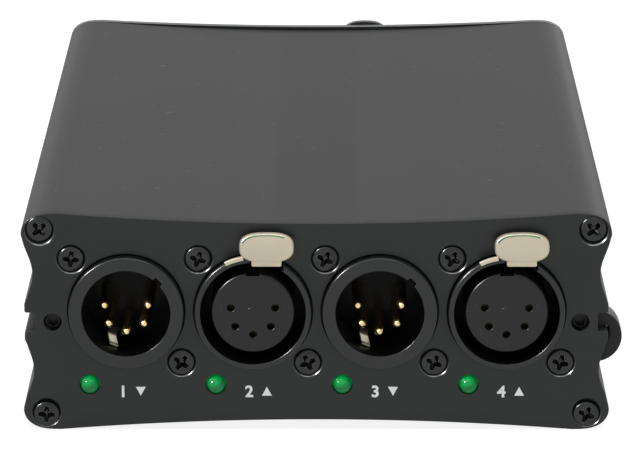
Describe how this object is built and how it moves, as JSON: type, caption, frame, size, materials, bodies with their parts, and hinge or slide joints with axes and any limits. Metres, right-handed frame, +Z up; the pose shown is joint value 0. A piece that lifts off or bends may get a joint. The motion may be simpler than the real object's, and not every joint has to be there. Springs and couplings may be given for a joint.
{
  "type": "stage lighting network node",
  "caption": "Aluminium box that passes lighting control between round panel connectors on its front and a locking network socket on its rear.",
  "frame": {"origin": "middle of the whole part's footprint, on the surface that the box rests on", "axes": "+X to the right seen from the front, +Y from the front plate to the rear plate, +Z up"},
  "size_m": [0.1084, 0.1684, 0.0406],
  "materials": {
    "anodised_case": "satin grey-black anodised extrusion, fine along its length",
    "plate_paint": "fine matt black anodised plate",
    "black_screw": "glossy black plated steel",
    "gold_contact": "gold plated",
    "nickel": "bright nickel",
    "black_housing": "smooth black connector shell",
    "pale_latch": "pale bone satin",
    "green_lamp": "clear green moulded lamp",
    "green_board": "green circuit board",
    "black_plastic": "matt black moulded plastic"
  },
  "bodies": {
    "case": {"case_extrusion": "anodised_case", "ethernet_housing": "black_housing", "ethernet_jack": "black_plastic", "ethernet_latch_pin": "nickel", "ethernet_screw_lower": "black_screw", "ethernet_screw_upper": "black_screw", "front_plate": "plate_paint", "front_screw_bottom_left": "black_screw", "front_screw_bottom_right": "black_screw", "front_screw_top_left": "black_screw", "front_screw_top_right": "black_screw", "in_1_ground_spring": "nickel", "in_1_housing": "black_housing", "in_1_pin_1": "gold_contact", "in_1_pin_2": "gold_contact", "in_1_pin_3": "gold_contact", "in_1_pin_4": "gold_contact", "in_1_pin_5": "gold_contact", "in_2_ground_spring": "nickel", "in_2_housing": "black_housing", "in_2_pin_1": "gold_contact", "in_2_pin_2": "gold_contact", "in_2_pin_3": "gold_contact", "in_2_pin_4": "gold_contact", "in_2_pin_5": "gold_contact", "isolator_left": "black_plastic", "isolator_right": "black_plastic", "lamp_1": "green_lamp", "lamp_2": "green_lamp", "lamp_3": "green_lamp", "lamp_4": "green_lamp", "main_board": "green_board", "out_1_housing": "black_housing", "out_1_insert": "black_plastic", "out_1_latch_pin": "nickel", "out_2_housing": "black_housing", "out_2_insert": "black_plastic", "out_2_latch_pin": "nickel", "port_1_screw_lower": "black_screw", "port_1_screw_upper": "black_screw", "port_2_screw_lower": "black_screw", "port_2_screw_upper": "black_screw", "port_3_screw_lower": "black_screw", "port_3_screw_upper": "black_screw", "port_4_screw_lower": "black_screw", "port_4_screw_upper": "black_screw", "power_inlet": "black_plastic", "power_nut": "nickel", "processor_chip": "black_plastic", "rear_plate": "plate_paint", "rear_screw_bottom_left": "black_screw", "rear_screw_bottom_right": "black_screw", "rear_screw_top_left": "black_screw", "rear_screw_top_right": "black_screw", "set_screw_left": "black_screw", "set_screw_right": "black_screw"},
    "latch_1": {"out_1_latch": "pale_latch"},
    "latch_2": {"out_2_latch": "pale_latch"},
    "latch_rear": {"ethernet_latch": "black_plastic"},
    "lug": {"slot_lug": "black_plastic"}
  },
  "joints": [
    {"name": "out_1_push", "type": "hinge", "parent": "case", "child": "latch_1", "pos_m": [-0.01006, -0.075, 0.0344], "axis": [1, 0, 0], "range_deg": [0, 8], "stiffness_Nm_per_rad": 0.25},
    {"name": "out_2_push", "type": "hinge", "parent": "case", "child": "latch_2", "pos_m": [0.03564, -0.075, 0.0344], "axis": [1, 0, 0], "range_deg": [0, 8], "stiffness_Nm_per_rad": 0.25},
    {"name": "ethernet_push", "type": "hinge", "parent": "case", "child": "latch_rear", "pos_m": [0.00906, 0.075, 0.0344], "axis": [-1, 0, 0], "range_deg": [0, 8], "stiffness_Nm_per_rad": 0.25},
    {"name": "lug_slide", "type": "slide", "parent": "case", "child": "lug", "axis": [0, 1, 0], "range_m": [0, 0.1485]}
  ]
}
